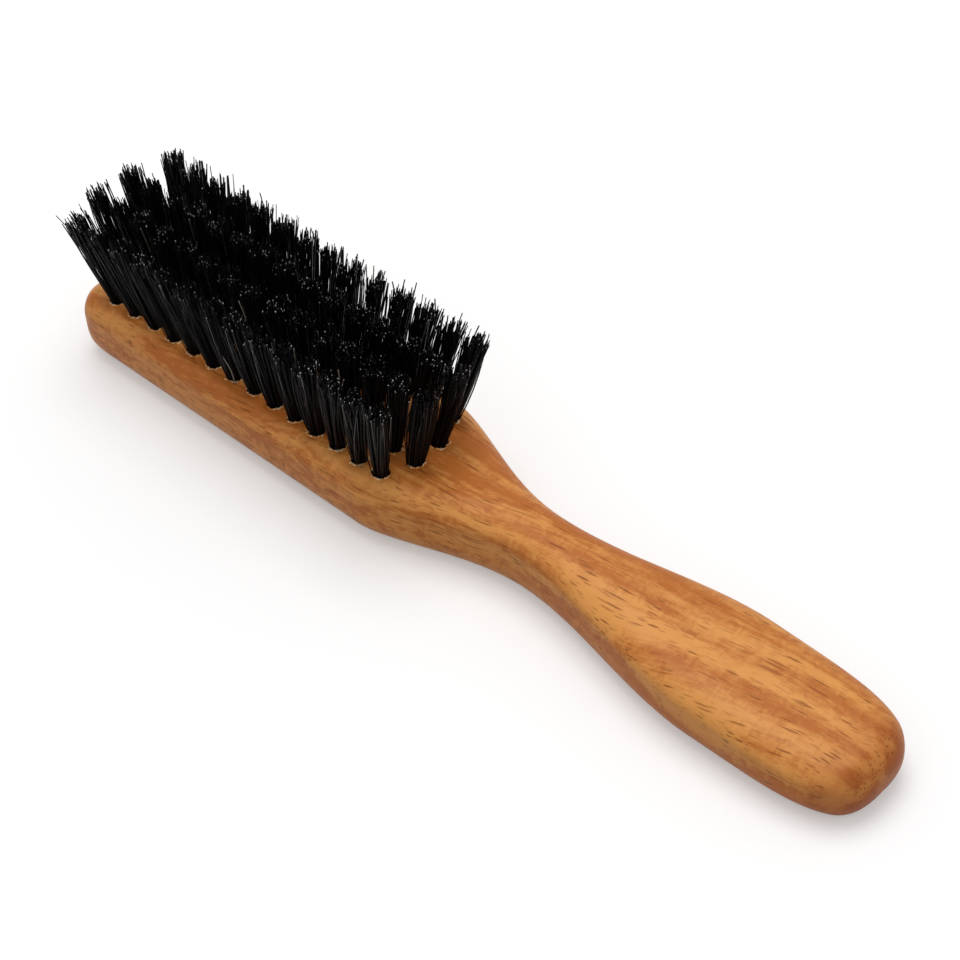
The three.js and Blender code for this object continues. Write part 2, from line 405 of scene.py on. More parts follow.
class BlockForm:
    """The block's outline and sections, worked out from its sizes."""

    tip_squareness = 3.9
    end_squareness = 3.1
    shoulder_skew = 0.82
    drop_curve = 1.9
    widest_edge = 0.92  # of the half width
    head_face_edge = (3.2 * MM, 4.2 * MM)  # across, down
    head_back_edge = (4.4 * MM, 5.8 * MM)
    handle_face_edge = (6.8 * MM, 3.6 * MM)
    handle_back_edge = (3.2 * MM, 5.4 * MM)

    def __init__(self, sizes):
        self.sizes = sizes
        self.neck_at = sizes.block_length - sizes.end_round - sizes.belly_length - sizes.swell_length
        self.shoulder_at = self.neck_at - sizes.shoulder_length

    def towards_neck(self, s):
        t = max((s - self.shoulder_at) / self.sizes.shoulder_length, 0.0)
        return eased(t**self.shoulder_skew)

    def half_width(self, s):
        sizes = self.sizes
        width = (
            sizes.head_width
            + (sizes.neck_width - sizes.head_width) * self.towards_neck(s)
            + (sizes.belly_width - sizes.neck_width) * eased((s - self.neck_at) / sizes.swell_length)
        )
        return (
            width
            / 2
            * rounded_end(s, sizes.tip_round, self.tip_squareness)
            * rounded_end(sizes.block_length - s, sizes.end_round, self.end_squareness)
        )

    def thickness(self, s):
        sizes = self.sizes
        along = max((s - self.shoulder_at) / (sizes.block_length - self.shoulder_at), 0.0)
        return sizes.head_thickness - (sizes.head_thickness - sizes.end_thickness) * along**self.drop_curve

    def edge(self, s, head_edge, handle_edge, half_width, room):
        share = self.towards_neck(s)
        across = head_edge[0] + (handle_edge[0] - head_edge[0]) * share
        down = head_edge[1] + (handle_edge[1] - head_edge[1]) * share
        return min(across, half_width * self.widest_edge), min(down, room / 2)

    def section(self, s, steps):
        """One ring of points: up one side from the back, over the face and down the other side."""
        half_width = self.half_width(s)
        from_end = min(s, self.sizes.block_length - s)
        radius = self.sizes.end_face_radius
        back = radius * (1 - rounded_end(from_end, radius, 2))
        face = self.thickness(s) - back
        back_across, back_down = self.edge(
            s, self.head_back_edge, self.handle_back_edge, half_width, face - back
        )
        face_across, face_down = self.edge(
            s, self.head_face_edge, self.handle_face_edge, half_width, face - back
        )
        quarter = [step / steps * math.pi / 2 for step in range(steps + 1)]
        side = [
            (half_width - back_across * (1 - math.sin(turn)), back + back_down * (1 - math.cos(turn)))
            for turn in quarter
        ]
        side += [
            (half_width - face_across * (1 - math.cos(turn)), face - face_down * (1 - math.sin(turn)))
            for turn in quarter
        ]
        x = BLOCK_LOW.x + s
        return [Vector((x, y, z)) for y, z in side] + [Vector((x, -y, z)) for y, z in reversed(side)]

    def stations(self):
        """Close together at the ends, where the outline turns fastest, and even between them."""
        sizes = self.sizes
        at_ends = 40
        between = 120
        quarter = math.pi / 2
        tip = [sizes.tip_round * (1 - math.cos(i / at_ends * quarter)) for i in range(at_ends)]
        straight = sizes.block_length - sizes.tip_round - sizes.end_round
        middle = [sizes.tip_round + straight * i / between for i in range(between)]
        end = [
            sizes.block_length - sizes.end_round * (1 - math.sin(i / at_ends * quarter))
            for i in range(at_ends + 1)
        ]
        return tip + middle + end


WELD_DISTANCE = 0.002 * MM
EDGE_STEPS = 14
DRILL_SIDES = 28


def skin_over(rings):
    """A closed mesh over rings of equally many points, whose first and last have closed up."""
    form = bmesh.new()
    laid = [[form.verts.new(point) for point in ring] for ring in rings]
    for near, far in zip(laid, laid[1:]):
        for i in range(len(near)):
            k = (i + 1) % len(near)
            form.faces.new((near[i], near[k], far[k], far[i]))
    bmesh.ops.remove_doubles(form, verts=form.verts, dist=WELD_DISTANCE)
    bmesh.ops.recalc_face_normals(form, faces=form.faces)
    return form


def drill_tree(sizes):
    """Geometry Nodes that drill one leaning hole at every seat."""
    tree, graph, entry = start_tree(
        "drill_holes",
        {"Hole radius": sizes.hole_radius, "Hole depth": sizes.hole_depth},
        {},
        objects=("Seats",),
    )
    seats = graph.node("GeometryNodeObjectInfo", None, {"Object": entry["Seats"]}, "Geometry")
    drill = graph.node(
        "GeometryNodeMeshCylinder",
        {"fill_type": "NGON"},
        {"Vertices": DRILL_SIDES, "Radius": entry["Hole radius"], "Depth": entry["Hole depth"] * 2},
        "Mesh",
    )
    drills = graph.node(
        "GeometryNodeInstanceOnPoints",
        None,
        {"Points": seats, "Instance": drill, "Rotation": lean_turn(graph)},
    )
    solid_drills = graph.node("GeometryNodeRealizeInstances", None, {"Geometry": drills})
    drilled = graph.node(
        "GeometryNodeMeshBoolean",
        {"operation": "DIFFERENCE", "solver": "EXACT"},
        {"Mesh 1": entry["Geometry"], "Mesh 2": solid_drills},
        "Mesh",
    )
    finish_tree(graph, drilled, entry["Material"])
    return tree


# ---------------------------------------------------------------- objects


def add_piece(name, mesh, material=None):
    piece = bpy.data.objects.new(name, mesh)
    bpy.context.scene.collection.objects.link(piece)
    if material is not None:
        mesh.materials.clear()
        mesh.materials.append(material)
    return piece


def apply_tree(piece, tree, values):
    """Runs a Geometry Nodes tree on a piece with these named inputs, and keeps the plain mesh."""
    modifier = piece.modifiers.new(tree.name, "NODES")
    modifier.node_group = tree
    identifiers = input_identifiers(tree)
    for name, value in values.items():
        modifier[identifiers[name]] = value
    graph = bpy.context.evaluated_depsgraph_get()
    made = bpy.data.meshes.new_from_object(piece.evaluated_get(graph), depsgraph=graph)
    piece.modifiers.remove(modifier)
    old = piece.data
    piece.data = made
    made.name = piece.name
    bpy.data.meshes.remove(old)
    return piece


def smooth(mesh, degrees):
    """Smooth shading, but for edges sharper than this."""
    mesh.shade_smooth()
    mesh.set_sharp_from_angle(angle=math.radians(degrees))


# ---------------------------------------------------------------- bristle


STRAND_SIDES = 4
STRAND_STATIONS = 7  # points along a strand
GOLDEN_ANGLE = 2.399963  # radians
STRAND_TAPER = 0.15  # share of the radius that is gone at the tip
PLACE_JITTER = 0.09  # of the tuft's radius
TURN_JITTER = 0.55  # radians round the tuft
STRAY_ABOVE = 0.955  # a strand that draws more than this strays


def tuft_tree(sizes):
    """Geometry Nodes that grow a tuft of bristle at every seat, along its lean."""
    tree, graph, entry = start_tree(
        "grow_tufts",
        {
            "Root radius": sizes.root_radius,
            "Root depth": 2.5 * MM,
            "Tip radius": sizes.tip_radius,
            "Trim height": sizes.trim_height,
            "Trim scatter": sizes.trim_scatter,
            "Clump size": 1.5 * MM,
            "Clump drift": 3.6 * MM,
            "Clump height": 5.2 * MM,
            "Stray length": 2.0 * MM,
            "Bow": 0.8 * MM,
            "Strand radius": sizes.strand_radius,
        },
        {"Strands per tuft": sizes.strands_per_tuft, "Seed": 0},
    )

    def chance(low, high, salt):
        """An even random number for each strand. The salt sets it apart from the others."""
        strand = graph.node("GeometryNodeInputIndex")
        return graph.chance(low, high, entry["Seed"] * 100 + salt, ID=strand)

    def store(geometry, name, kind, value):
        return graph.node(
            "GeometryNodeStoreNamedAttribute",
            {"data_type": kind, "domain": "POINT"},
            {"Geometry": geometry, "Name": name, "Value": value},
        )

    # One point for each strand, spread over the hole like the seeds in a sunflower's head.
    seats = graph.node("GeometryNodeMeshToPoints", None, {"Mesh": entry["Geometry"]})
    strand_points = graph.multiplied(seats, entry["Strands per tuft"])
    place = graph.other(strand_points, "Duplicate Index")
    share = ((place + 0.5) / entry["Strands per tuft"]) ** 0.5
    around = place * GOLDEN_ANGLE
    root = graph.polar(
        (entry["Root radius"] - entry["Strand radius"]) * share, around, entry["Root depth"] * -1
    )
    is_stray = chance(0.0, 1.0, 5) > STRAY_ABOVE
    spread = share + chance(-PLACE_JITTER, PLACE_JITTER, 3) + is_stray * chance(-0.1, 0.2, 7)
    turned = around + chance(-TURN_JITTER, TURN_JITTER, 4)
    opened = graph.polar(entry["Tip radius"] * spread, turned, 0.0)

    # Neighbouring strands cling together in clumps, which drift and end at heights of their own.
    spot = graph.vector("ADD", graph.node("GeometryNodeInputPosition"), opened)
    spot = graph.vector("DIVIDE", spot, graph.combine(*[entry["Clump size"]] * 3))
    clump = graph.noise(spot, detail=1.0)
    drift = graph.vector("SUBTRACT", graph.other(clump, "Color"), (0.5, 0.5, 0.5))
    furthest = graph.combine(entry["Clump drift"], entry["Clump drift"] * 0.8, 0.0)
    drift = graph.vector("MULTIPLY", drift, furthest)
    upright = graph.node("ShaderNodeSeparateXYZ", None, {0: graph.carried("lean", "FLOAT_VECTOR")}, "Z")
    reach = (
        entry["Trim height"] / upright
        + entry["Trim scatter"] * (chance(-1.0, 1.0, 1) + chance(-1.0, 1.0, 2))
        + entry["Clump height"] * (clump - 0.5)
        + entry["Stray length"] * is_stray * chance(0.2, 1.0, 6)
    )
    tip = graph.vector("ADD", graph.vector("ADD", opened, drift), graph.combine(0.0, 0.0, reach))
    bow = graph.polar(
        entry["Bow"] * chance(-1.0, 1.0, 8) * (1 + is_stray * 2), chance(0.0, math.tau, 9), 0.0
    )
    for name, kind, value in (
        ("root", "FLOAT_VECTOR", root),
        ("tip", "FLOAT_VECTOR", tip),
        ("bow", "FLOAT_VECTOR", bow),
        ("tone", "FLOAT", chance(0.0, 1.0, 10)),
        ("girth", "FLOAT", chance(0.7, 1.2, 11)),
        ("strand", "INT", graph.node("GeometryNodeInputIndex")),
    ):
        strand_points = store(strand_points, name, kind, value)

    # Several points along each strand, joined into a curve.
    curve_points = graph.multiplied(strand_points, STRAND_STATIONS)
    along = graph.other(curve_points, "Duplicate Index") / (STRAND_STATIONS - 1)
    curve_points = store(curve_points, "along", "FLOAT", along)
    along = graph.carried("along", "FLOAT")
    straight = graph.node(
        "ShaderNodeMix",
        {"data_type": "VECTOR"},
        {
            "Factor_Float": along,
            "A_Vector": graph.carried("root", "FLOAT_VECTOR"),
            "B_Vector": graph.carried("tip", "FLOAT_VECTOR"),
        },
        "Result_Vector",
    )
    sag = graph.node(
        "ShaderNodeVectorMath",
        {"operation": "SCALE"},
        {0: graph.carried("bow", "FLOAT_VECTOR"), "Scale": along * (1 - along) * 4},
    )
    leaned = graph.node(
        "FunctionNodeRotateVector",
        None,
        {"Vector": graph.vector("ADD", straight, sag), "Rotation": lean_turn(graph)},
    )
    curve_points = graph.node("GeometryNodeSetPosition", None, {"Geometry": curve_points, "Offset": leaned})
    curves = graph.node(
        "GeometryNodePointsToCurves",
        None,
        {"Points": curve_points, "Curve Group ID": graph.carried("strand", "INT"), "Weight": along},
    )
    girth = graph.carried("girth", "FLOAT")
    thickness = entry["Strand radius"] * girth * (1 - along * along * STRAND_TAPER)
    section = graph.node(
        "GeometryNodeCurvePrimitiveCircle", None, {"Resolution": STRAND_SIDES, "Radius": 1.0}, "Curve"
    )
    tubes = graph.node(
        "GeometryNodeCurveToMesh",
        None,
        {"Curve": curves, "Profile Curve": section, "Scale": thickness, "Fill Caps": True},
    )
    finish_tree(graph, tubes, entry["Material"])
    return tree


# Single bristles that stand out of the tufts: the share of the pale colour, then points in millimetres.
LOOSE_HAIRS = (
    (
        0.55,
        (
            (-46.2, -10.1, 13.0),
            (-46.3, -10.4, 16.3),
            (-46.5, -10.8, 18.3),
            (-47.5, -11.4, 21.5),
            (-47.3, -11.9, 24.9),
            (-47.5, -12.4, 28.0),
            (-48.0, -12.6, 28.9),
            (-49.4, -12.7, 29.5),
        ),
    ),
    (1.0, ((-20.7, -8.3, 25.3), (-20.2, -8.5, 27.1), (-19.7, -8.8, 30.4), (-19.6, -9.0, 32.6))),
    (0.8, ((-20.6, -8.4, 25.4), (-19.9, -8.6, 27.5), (-18.5, -8.9, 31.1))),
    (0.5, ((-43.3, -7.2, 24.7), (-43.6, -7.4, 27.0), (-44.1, -7.6, 29.5), (-44.8, -7.8, 32.3))),
    (0.5, ((-29.6, -9.6, 27.2), (-29.3, -9.8, 29.0), (-29.1, -10.0, 32.4))),
    (0.3, ((-66.3, 11.2, 30.5), (-66.4, 11.6, 33.6), (-66.8, 12.1, 36.0))),
)
HAIR_SIDES = 5
HAIR_STEPS = 6  # from one point to the next
HAIR_TAPER = 0.4  # share of the radius that is gone at the tip


def hair_mesh(name, radius):
    """The loose bristles as one mesh, each with its colour share in the attribute bare."""
    form = bmesh.new()
    bare = form.verts.layers.float.new("bare")
    for share, path in LOOSE_HAIRS:
        points = smoothed([Vector(point) * MM for point in path], HAIR_STEPS)
        rings = []
        for place, point in enumerate(points):
            ahead = points[min(place + 1, len(points) - 1)] - points[max(place - 1, 0)]
            turned = ahead.to_track_quat("Z", "Y")
            girth = radius * (1.0 - HAIR_TAPER * place / (len(points) - 1))
            ring = []
            for side in range(HAIR_SIDES):
                around = side / HAIR_SIDES * math.tau
                spot = turned @ Vector((math.cos(around), math.sin(around), 0.0))
                ring.append(form.verts.new(point + spot * girth))
                ring[-1][bare] = share
            rings.append(ring)
        for near, far in zip(rings, rings[1:]):
            for i in range(HAIR_SIDES):
                k = (i + 1) % HAIR_SIDES
                form.faces.new((near[i], near[k], far[k], far[i]))
        form.faces.new(reversed(rings[0]))
        form.faces.new(rings[-1])
    mesh = bpy.data.meshes.new(name)
    form.to_mesh(mesh)
    form.free()
    return mesh


def smoothed(points, steps):
    """Catmull-Rom through the points."""
    ends = [2 * points[0] - points[1], *points, 2 * points[-1] - points[-2]]
    path = []
    for before, start, end, after in zip(ends, ends[1:], ends[2:], ends[3:]):
        for step in range(steps):
            t = step / steps
            path.append(
                0.5
                * (
                    2 * start
                    + (end - before) * t
                    + (2 * before - 5 * start + 4 * end - after) * t**2
                    + (3 * start - before - 3 * end + after) * t**3
                )
            )
    return [*path, points[-1]]


# ---------------------------------------------------------------- torn fibre


DRILL_EXIT = -0.9  # radians round the hole to the side from which the drill left the wood
RIM_SPREAD = 2.4  # radians from there, both ways
RIM_SEED = 7


def rim_tree(sizes):
    """Geometry Nodes that leave slivers of lifted fibre round the mouth of every hole."""
    tree, graph, entry = start_tree(
        "lift_fibre",
        {
            "Rim radius": sizes.hole_radius,
            "Rim width": 0.3 * MM,
            "Sliver length": 1.2 * MM,
            "Sliver width": 0.34 * MM,
            "Sliver height": 0.2 * MM,
        },
        {"Slivers per hole": 15, "Seed": 0},
    )

    def chance(low, high, salt):
        return graph.chance(low, high, entry["Seed"] + salt)

    seats = graph.node("GeometryNodeMeshToPoints", None, {"Mesh": entry["Geometry"]})
    points = graph.multiplied(seats, entry["Slivers per hole"])
    turn = chance(-RIM_SPREAD, RIM_SPREAD, 1) * chance(0.2, 1.0, 2) + DRILL_EXIT
    radius = entry["Rim radius"] + entry["Rim width"] * chance(-0.3, 1.0, 3)
    offset = graph.polar(radius, turn, entry["Sliver height"] * chance(-0.2, 0.3, 4))
    points = graph.node("GeometryNodeSetPosition", None, {"Geometry": points, "Offset": offset})
    sliver = graph.node("GeometryNodeMeshIcoSphere", None, {"Radius": 0.5, "Subdivisions": 1}, "Mesh")
    size = graph.combine(
        entry["Sliver width"] * chance(0.6, 1.3, 5),
        entry["Sliver length"] * chance(0.35, 1.0, 6),
        entry["Sliver height"] * chance(0.6, 1.4, 7),
    )
    heading = graph.combine(chance(-0.2, 0.2, 8), 0.0, turn + chance(-0.35, 0.35, 9))
    slivers = graph.node(
        "GeometryNodeInstanceOnPoints",
        None,
        {
            "Points": points,
            "Instance": sliver,
            "Rotation": graph.node("FunctionNodeEulerToRotation", None, {"Euler": heading}),
            "Scale": size,
        },
    )
    finish_tree(graph, slivers, entry["Material"])
    return tree


# ---------------------------------------------------------------- materials


def new_material(name):
    material = bpy.data.materials.new(name)
    material.use_nodes = True
    tree = material.node_tree
    surface = next(node for node in tree.nodes if node.type == "BSDF_PRINCIPLED")
    return material, Graph(tree), surface


def rgb(value):
    return (*value, 1.0)


def on_object(graph):
    return graph.node("ShaderNodeTexCoord", output="Object")


def painted(graph, name):
    """A number that the mesh carries."""
    return graph.node("ShaderNodeAttribute", {"attribute_name": name}, output="Fac")


# The figure of the beech in features per metre, along the grain and across it.
FIGURE = {
    "sway": (30.0, 60.0),
    "wide band": (8.5, 104.0),
    "band": (20.0, 360.0),
    "streak": (170.0, 1150.0),
    "fibre": (520.0, 3600.0),
    "curl": (520.0, 300.0),
    "fleck": (140.0, 1700.0),
    "fine fleck": (240.0, 2600.0),
}
GRAIN_TURN = -0.17  # radians. The plank was sawn a little askew, so the grain runs out over the side.
GRAIN_SWAY = 7.0 * MM
WIDE_BAND_SHIFT = (0.0, 0.4, 0.0)  # in features
FLECK_EDGE = 0.42  # of a cell, where a fleck has faded out

# Where the wood changes, from and to: heights over the floor, then places along the brush.
# Low on the sides the wood gets painted shade and stronger curl.
LOW_SHADED_WOOD = (6.0 * MM, 10.0 * MM)
FLANK = (9.0 * MM, 13.0 * MM)
TIP_STRETCH = (-60.0 * MM, 30.0 * MM)
HANDLE_STRETCH = (-10.0 * MM, 40.0 * MM)
END_STRETCH = (76.0 * MM, 87.0 * MM)
BAND_LIFT = 16.0 * MM  # how far the wide bands push those heights about
CURL_LIFT = 3.0 * MM


def beech_material(finish):
    """Steamed beech under a thin satin lacquer: soft bands, short dark ray flecks and fine fibre, with
    painted shade low on the sides and towards the tip.
    """
    material, graph, surface = new_material("beech_grain")
    place = on_object(graph)

    def figure(where, name):
        along_grain, across_grain = FIGURE[name]
        return graph.stretched(where, along_grain, across_grain, across_grain)

    sway = graph.noise(figure(place, "sway"), detail=1.0)
    sway = graph.vector("SUBTRACT", graph.other(sway, "Color"), (0.5, 0.5, 0.5))
    grain = graph.vector("ADD", place, graph.vector("MULTIPLY", sway, (0.0, GRAIN_SWAY, GRAIN_SWAY)))
    grain = graph.node(
        "ShaderNodeVectorRotate", {"rotation_type": "Z_AXIS"}, {"Vector": grain, "Angle": GRAIN_TURN}
    )

    # Growth rings cut lengthwise: wide and narrow bands, then short streaks and fibre.
    drift = graph.noise(graph.vector("SUBTRACT", figure(grain, "wide band"), WIDE_BAND_SHIFT))
    band = graph.noise(figure(grain, "band"))
    streak = graph.noise(figure(grain, "streak"), detail=3.0, roughness=0.6)
    fibre = graph.noise(figure(grain, "fibre"), roughness=0.6)
    curl = graph.noise(figure(grain, "curl"), roughness=0.6, distortion=1.2)
    fleck = fleck_mask(graph, figure(grain, "fleck"), core=0.2, sparse=0.42)
    fine_fleck = fleck_mask(graph, figure(grain, "fine fleck"), core=0.16, sparse=0.2)

    along = graph.node("ShaderNodeSeparateXYZ", None, {0: place}, "X")
    height = graph.other(along, "Z") + (drift - 0.5) * BAND_LIFT + (curl - 0.5) * CURL_LIFT
    # low marks the lower sides, where shade is painted into the wood.
    low = 1 - graph.ramp(height, *LOW_SHADED_WOOD)
    towards_tip = 1 - graph.ramp(along, *TIP_STRETCH)
    towards_end = graph.ramp(along, *HANDLE_STRETCH)
    flank = (1 - graph.ramp(height, *FLANK)) * (1 - towards_end)

    tone = drift * 0.4 + band * 0.4 + streak * 0.14 + fibre * 0.12 - 0.03
    # Low on the sides the tone is shifted to paint the light there: lifted on the head, darkened on the
    # handle.
    tone = tone + (curl - 0.5) * (0.18 + low * 0.3) + low * (0.04 - towards_end * 0.09)
    tone = tone + (streak - 0.5) * flank * 0.45
    wood = graph.mix(graph.ramp(tone, 0.40, 0.59), rgb(finish.beech_dark), rgb(finish.beech_light))
    # Painted shade: the darker, warmer heart colour goes low on the sides, most on the handle, and a little
    # over the head towards its tip.
    shade_and_warmth = low * (0.12 + towards_end * 0.55) + towards_tip * 0.1
    wood = graph.mix(shade_and_warmth, wood, rgb(finish.beech_heart_and_shade))
    stripe = graph.ramp(band, 0.35, 0.65)
    cut_across = graph.ramp(along, *END_STRETCH) * (0.9 - stripe * 0.4)
    wood = graph.mix(cut_across, wood, rgb(finish.end_grain))
    wood = graph.mix(fine_fleck * 0.5, wood, rgb(finish.fleck))
    wood = graph.mix(fleck * 0.8, wood, rgb(finish.fleck))
    graph.feed(surface.inputs["Base Color"], wood)
    graph.feed(surface.inputs["Roughness"], 0.4 + streak * 0.14 + fleck * 0.12)

    relief = fibre * 0.4 + curl * 0.5 - fleck * 0.7 - fine_fleck * 0.3
    bump = graph.node("ShaderNodeBump", None, {"Height": relief, "Strength": 0.3, "Distance": 0.08 * MM})
    graph.feed(surface.inputs["Normal"], bump)
    surface.inputs["Coat Weight"].default_value = 0.06
    surface.inputs["Coat Roughness"].default_value = 0.3
    surface.inputs["Specular IOR Level"].default_value = 0.2
    return material


def fleck_mask(graph, cells, core, sparse):
    """A dash in some of the cells, each with a strength of its own. sparse is the share left out."""
    distance = graph.node("ShaderNodeTexVoronoi", None, {"Vector": cells, "Scale": 1.0}, "Distance")
    shade = graph.node("ShaderNodeSeparateColor", None, {"Color": graph.other(distance, "Color")}, "Red")
    return (1 - graph.ramp(distance, core, FLECK_EDGE)) * graph.ramp(shade, sparse, 1.0)


def torn_fibre_material(finish):
    """Bare, pale wood where the drill has lifted the fibre."""
    material, graph, surface = new_material("torn_fibre")
    place = on_object(graph)
    speck = graph.noise(graph.stretched(place, 1500.0, 1500.0, 1500.0))
    shade = graph.mix(graph.ramp(speck, 0.35, 0.65), rgb(finish.beech_light), rgb(finish.torn_fibre))
    graph.feed(surface.inputs["Base Color"], shade)
    surface.inputs["Roughness"].default_value = 0.7
    return material


def bristle_material(finish):
    """Near-black boar bristle with a sheen along the strand and a painted highlight, light grey, on the cut
    ends of some strands.
    """
    material, graph, surface = new_material("bristle_hair")
    tone = painted(graph, "tone")
    along = painted(graph, "along")
    place = on_object(graph)
    patch = graph.noise(graph.stretched(place, 260.0, 260.0, 260.0))
    # Painted highlight: light grey on the very ends of some strands, in patches.
    tip_glint = graph.ramp(along, 0.985, 1.0) * graph.ramp(tone, 0.62, 1.0) * graph.ramp(patch, 0.36, 0.6)
    pale = graph.ramp(tone, 0.993, 0.996)
    shade = graph.mix(pale * 0.25, rgb(finish.bristle), rgb(finish.pale_bristle))
    shade = graph.mix(tip_glint, shade, rgb(finish.bristle_tip_glint))
    graph.feed(surface.inputs["Base Color"], shade)
    graph.feed(surface.inputs["Roughness"], 0.5 - tone * 0.18)
    sheen = graph.ramp(tone, 0.74, 0.94) * graph.ramp(along, 0.35, 0.85) * 0.85
    graph.feed(surface.inputs["Coat Weight"], sheen)
    surface.inputs["Coat Roughness"].default_value = 0.22
    surface.inputs["Specular IOR Level"].default_value = 0.08
    return material


def loose_hair_material(finish):
    """Bristle that has grown without its colour, in the share that each hair carries."""
    material, graph, surface = new_material("bristle_bare")
    bare = painted(graph, "bare")
    place = on_object(graph)
    patch = graph.noise(graph.stretched(place, 900.0, 900.0, 350.0))
    faded = rgb((0.10, 0.10, 0.10))
    shade = graph.mix(bare * (0.6 + patch * 0.8), faded, rgb(finish.pale_bristle))
    graph.feed(surface.inputs["Base Color"], shade)
    graph.feed(surface.inputs["Roughness"], 0.3 + patch * 0.2)
    return material


def wire_material(finish):
    """Flat drawn steel wire, with fine lines along it."""
    material, graph, surface = new_material("wire_steel")
    place = on_object(graph)
    lines = graph.noise(graph.stretched(place, 9000.0, 300.0, 9000.0))
    shade = graph.mix(lines, rgb([0.6 * part for part in finish.wire]), rgb(finish.wire))
    graph.feed(surface.inputs["Base Color"], shade)
    graph.feed(surface.inputs["Roughness"], 0.3 + lines * 0.2)
    surface.inputs["Metallic"].default_value = 1.0
    return material


# ---------------------------------------------------------------- operators


class BRUSH_OT_block(bpy.types.Operator):
    """Builds the drilled beech block"""

    bl_idname = "brush.block"
    bl_label = "Beech block"

    def execute(self, context):
        scene = context.scene
        form = BlockForm(scene.brush_block)
        skin = skin_over([form.section(s, EDGE_STEPS) for s in form.stations()])
        mesh = bpy.data.meshes.new("beech_block")
        skin.to_mesh(mesh)
        skin.free()
        block = add_piece("beech_block", mesh)
        drills = add_piece("drill_seats", seat_points("drill_seats", all_seats(scene.brush_tufts)))
        beech = beech_material(scene.brush_finish)
        apply_tree(block, drill_tree(scene.brush_tufts), {"Seats": drills, "Material": beech})
        smooth(block.data, degrees=35)
        bpy.data.objects.remove(drills)
        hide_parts("brush_block")
        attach(block, "root")
        return {"FINISHED"}


class BRUSH_OT_rims(bpy.types.Operator):
    """Lifts pale slivers of fibre at the mouths of the holes"""

    bl_idname = "brush.rims"
    bl_label = "Torn rims"

    def execute(self, context):
        scene = context.scene
        rims = add_piece("torn_rims", seat_points("torn_rims", all_seats(scene.brush_tufts)))
        torn = torn_fibre_material(scene.brush_finish)
        apply_tree(rims, rim_tree(scene.brush_tufts), {"Seed": RIM_SEED, "Material": torn})
        rims.data.shade_smooth()
        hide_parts("brush_block")
        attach(rims, "root")
        return {"FINISHED"}


class BRUSH_OT_bristle(bpy.types.Operator):
    """Grows the tufts, one piece for each row"""

    bl_idname = "brush.bristle"
    bl_label = "Bristle rows"

    def execute(self, context):
        scene = context.scene
        material = bristle_material(scene.brush_finish)
        tree = tuft_tree(scene.brush_tufts)
        for place, seats in enumerate(lay_out_tufts(scene.brush_tufts), 1):
            name = f"bristle_row_{place}"
            row = add_piece(name, seat_points(name, seats))
            apply_tree(row, tree, {"Seed": place, "Material": material})
            row.data.shade_smooth()
            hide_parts("bristle_field")
            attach(row, "root")
        return {"FINISHED"}


class BRUSH_OT_loose_hairs(bpy.types.Operator):
    """Adds the few pale and bent bristles that stand out of the tufts"""

    bl_idname = "brush.loose_hairs"
    bl_label = "Loose hairs"

    def execute(self, context):
        scene = context.scene
        material = loose_hair_material(scene.brush_finish)
        hairs = add_piece(
            "loose_hairs", hair_mesh("loose_hairs", scene.brush_tufts.strand_radius), material
        )
        hairs.data.shade_smooth()
        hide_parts("bristle_field")
        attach(hairs, "root")
        return {"FINISHED"}


class BRUSH_OT_anchors(bpy.types.Operator):
    """Gives the anchor wires in the holes their steel"""

    bl_idname = "brush.anchors"
    bl_label = "Anchor wires"

    def execute(self, context):
        wire = wire_material(context.scene.brush_finish)
        for name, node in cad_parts.items():
            if name.startswith("anchor_"):
                for slot in node.material_slots:
                    slot.material = wire
        return {"FINISHED"}


class BRUSH_OT_studio(bpy.types.Operator):
    """Sets up the floor, the light and the camera"""

    bl_idname = "brush.studio"
    bl_label = "Studio"

    def execute(self, context):
        studio = context.scene.brush_studio
        add_floor()
        add_sky(context.scene, studio)
        add_light("key", KEY_PLACE, KEY_SIZE, studio.key_power)
        add_camera(context.scene, studio)
        context.scene.view_settings.view_transform = "Standard"
        return {"FINISHED"}


# ---------------------------------------------------------------- studio


KEY_PLACE = (-0.1, 0.1, 0.7)  # metres, as are the next two
KEY_SIZE = 0.5
FLOOR_REACH = 2.5
FLOOR_GAP = 0.05 * MM
FLOOR_SEEN = (0.8, 0.8, 0.8)
FLOOR_GLOW = (0.28, 0.28, 0.28)
FLOOR_UNSEEN = (0.28, 0.28, 0.28)  # darker, so that the floor throws less light up at the brush


def add_floor():
    form = bmesh.new()
    bmesh.ops.create_grid(form, x_segments=1, y_segments=1, size=FLOOR_REACH)
    mesh = bpy.data.meshes.new("floor")
    form.to_mesh(mesh)
    form.free()
    material, graph, surface = new_material("floor_white")
    seen = seen_directly(graph)
    graph.feed(surface.inputs["Base Color"], graph.mix(seen, rgb(FLOOR_UNSEEN), rgb(FLOOR_SEEN)))
    graph.feed(surface.inputs["Emission Color"], graph.mix(seen, rgb((0, 0, 0)), rgb(FLOOR_GLOW)))
    surface.inputs["Emission Strength"].default_value = 1.0
    surface.inputs["Roughness"].default_value = 0.9
    surface.inputs["Specular IOR Level"].default_value = 0.0
    floor = add_piece("floor", mesh, material)
    for corner in mesh.vertices:
        corner.co.z = BLOCK_LOW.z - FLOOR_GAP


def seen_directly(graph):
    """1 for what the camera sees itself, in a mirror or through glass, and 0 for light on its way."""
    path = graph.node("ShaderNodeLightPath", output="Is Camera Ray")
    seen = graph.math("MAXIMUM", path, graph.other(path, "Is Glossy Ray"))
    return graph.math("MAXIMUM", seen, graph.other(path, "Is Transmission Ray"))


